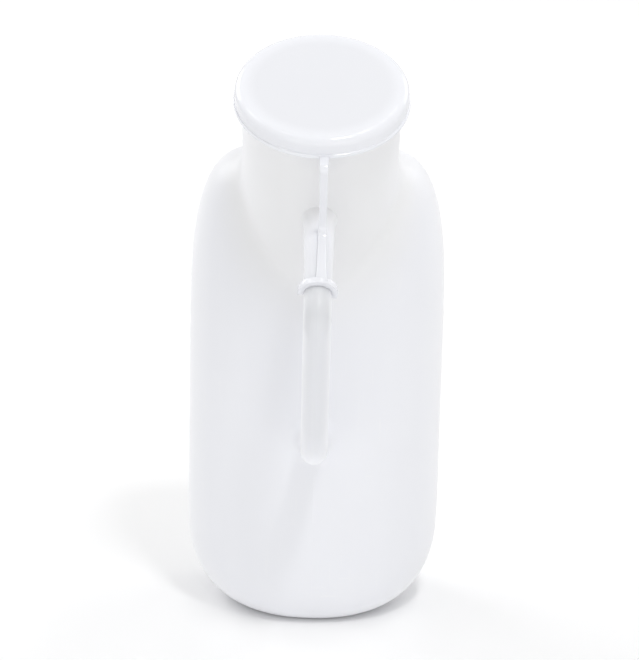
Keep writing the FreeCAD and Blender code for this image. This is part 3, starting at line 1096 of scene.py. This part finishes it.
def add_floor(stage):
    """A white floor that looks a little whiter away from the bottle, as a lit sweep does."""
    bpy.ops.object.select_all(action="DESELECT")
    bpy.ops.mesh.primitive_plane_add(size=30, location=(0, 0, 0))
    floor = bpy.context.object
    floor.name = "floor"
    material = bpy.data.materials.new("floor_white")
    material.use_nodes = True
    tree = material.node_tree
    white = tree.nodes["Principled BSDF"]
    white.inputs["Base Color"].default_value = (0.96, 0.96, 0.96, 1)
    white.inputs["Roughness"].default_value = 0.9
    white.inputs["Specular IOR Level"].default_value = 0.1
    away = add_vector_math(tree, "LENGTH", tree.nodes.new("ShaderNodeTexCoord").outputs["Object"])
    lift_starts, lift_full = 0.15, 0.9      # metres from the bottle
    far = add_range(tree, away, lift_starts, lift_full, smooth=True)
    lift = add_math(tree, "MULTIPLY", far, stage.floor_lift)
    glow = tree.nodes.new("ShaderNodeEmission")
    feed(tree, add_math(tree, "MULTIPLY", seen_directly(tree), lift), glow.inputs["Strength"])
    both = tree.nodes.new("ShaderNodeAddShader")
    feed(tree, white.outputs[0], both.inputs[0])
    feed(tree, glow.outputs[0], both.inputs[1])
    feed(tree, both.outputs[0], tree.nodes["Material Output"].inputs["Surface"])
    dress(floor, material)


def add_light(stage):
    """A white room and soft lamps, all turned to the bottle's middle."""
    scene = bpy.context.scene
    world = bpy.data.worlds.new("room")
    scene.world = world
    world.use_nodes = True
    tree = world.node_tree
    sky = tree.nodes["Background"]
    sky.inputs["Color"].default_value = (1, 1, 1, 1)
    lift = add_math(tree, "MULTIPLY_ADD", seen_directly(tree), 1.0 - stage.sky, stage.sky)
    feed(tree, lift, sky.inputs["Strength"])
    aim = Vector((0, 0, 0.14))
    for name, place, width, height, power in (      # metres and watts
        ("overhead_softbox", (0.33, -0.02, 1.25), 0.7, 0.06, stage.overhead),
        ("left_softbox", (-0.77, 0.01, 1.13), 0.3, 0.3, stage.left),
        ("key_softbox", (0.31, -0.62, 1.5), 0.2, 0.2, stage.key),
        ("small_softbox", (-0.36, -0.33, 1.3), 0.1, 0.1, stage.small),
        ("back_left_softbox", (-1.0, 0.9, 0.9), 0.8, 0.8, stage.back_left),
        ("back_right_softbox", (1.0, 0.9, 0.9), 0.8, 0.8, stage.back_right),
        ("low_strip", (0, -1.9, 0.2), 3.0, 0.3, stage.low),
    ):
        lamp = bpy.data.lights.new(name, "AREA")
        lamp.shape = "RECTANGLE"
        lamp.size = width
        lamp.size_y = height
        lamp.energy = power
        holder = bpy.data.objects.new(name, lamp)
        scene.collection.objects.link(holder)
        holder.location = place
        holder.rotation_euler = (aim - holder.location).to_track_quat("-Z", "Y").to_euler()


def add_camera(stage):
    scene = bpy.context.scene
    lens = bpy.data.cameras.new("camera")
    lens.sensor_fit = "HORIZONTAL"
    lens.sensor_width = 36
    lens.lens = stage.lens
    lens.clip_end = 50
    camera = bpy.data.objects.new("camera", lens)
    scene.collection.objects.link(camera)
    flat = math.cos(stage.elevation)
    away = Vector((-flat * math.sin(stage.azimuth), -flat * math.cos(stage.azimuth), math.sin(stage.elevation)))
    camera.location = Vector(stage.aim) + away * stage.distance
    camera.rotation_mode = "QUATERNION"
    camera.rotation_quaternion = (-away).to_track_quat("-Z", "Y") @ Quaternion((0, 0, 1), stage.roll)
    scene.camera = camera
    scene.view_settings.view_transform = "Standard"


class URINE_PT_panel(bpy.types.Panel):
    bl_label = "Urine bottle"
    bl_idname = "URINE_PT_panel"
    bl_space_type = "VIEW_3D"
    bl_region_type = "UI"
    bl_category = "Urine bottle"

    def draw(self, context):
        for operator in OPERATORS:
            self.layout.operator(operator.bl_idname)


OPERATORS = (URINE_OT_bottle, URINE_OT_lid, URINE_OT_stage)
GROUPS = {
    "bottle_sizes": BottleSizes, "lid_sizes": LidSizes,
    "finish_settings": FinishSettings, "stage_settings": StageSettings,
}


def register():
    for kind in (*GROUPS.values(), *OPERATORS, URINE_PT_panel):
        bpy.utils.register_class(kind)
    for name, kind in GROUPS.items():
        setattr(bpy.types.Scene, name, PointerProperty(type=kind))


def unregister():
    for name in GROUPS:
        delattr(bpy.types.Scene, name)
    for kind in reversed((*GROUPS.values(), *OPERATORS, URINE_PT_panel)):
        bpy.utils.unregister_class(kind)


def main():
    register()
    bpy.ops.urine_bottle.blow_bottle()
    bpy.ops.urine_bottle.mould_lid()
    bpy.ops.urine_bottle.set_stage()


if __name__ == "__main__":
    main()
